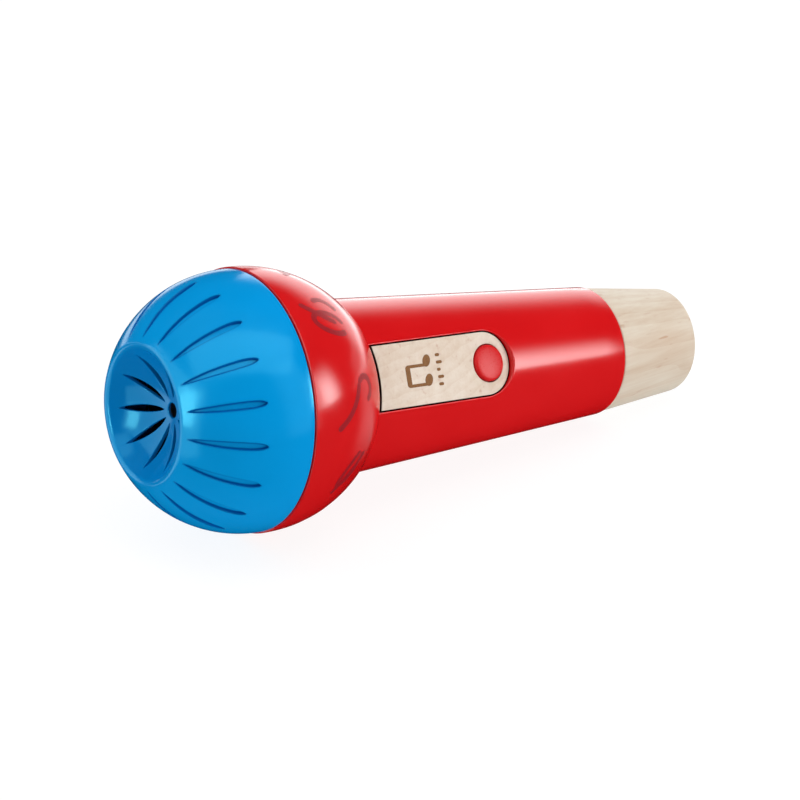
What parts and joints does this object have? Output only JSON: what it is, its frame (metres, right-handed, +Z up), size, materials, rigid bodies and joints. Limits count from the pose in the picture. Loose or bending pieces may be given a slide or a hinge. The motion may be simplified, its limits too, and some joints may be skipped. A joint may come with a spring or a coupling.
{
  "type": "toy echo microphone",
  "caption": "Hand-held toy echo microphone with a domed slotted head, tapered handle, wooden inlay with a push button, and a turned wooden tail plug.",
  "frame": {"origin": "middle of the bounding box on the surface that the microphone lies on", "axes": "+X from the head to the tail, +Z up. The microphone lies on the bowl's belly and the edge of the wooden plug, its axis sloping 8.17 degrees down towards the tail; the inlay faces -Y and up"},
  "size_m": [0.2024, 0.0788, 0.0786],
  "materials": {
    "blue_abs": "moulded, semi-gloss",
    "red_abs": "moulded, high gloss",
    "red_button": "moulded, gloss",
    "charcoal_abs": "moulded, satin",
    "film": "thin film",
    "maple_plug": "turned, clear matt lacquer",
    "maple_inlay": "sanded, clear matt lacquer",
    "spring_steel": "drawn wire",
    "screw_steel": "zinc plated"
  },
  "bodies": {
    "microphone": {"grille_shell": "blue_abs", "head_bowl": "red_abs", "handle_tube": "red_abs", "end_plug": "maple_plug", "wood_inlay": "maple_inlay", "button_spring": "spring_steel", "horn": "charcoal_abs", "diaphragm": "film", "clamp_ring": "charcoal_abs", "clamp_screw_1": "screw_steel", "clamp_screw_2": "screw_steel", "clamp_screw_3": "screw_steel", "head_screw_1": "screw_steel", "head_screw_2": "screw_steel", "head_screw_3": "screw_steel", "spring_post": "charcoal_abs", "push_nut": "screw_steel", "echo_spring": "spring_steel", "screw_eye": "screw_steel"},
    "button": {"button": "red_button"}
  },
  "joints": [
    {"name": "button_press", "type": "slide", "parent": "microphone", "child": "button", "axis": [-0.1245, 0.8951, -0.4281], "range_m": [0, 0.0012], "stiffness_N_per_m": 400, "springref_m": -0.002, "deforming": ["button_spring"]}
  ]
}
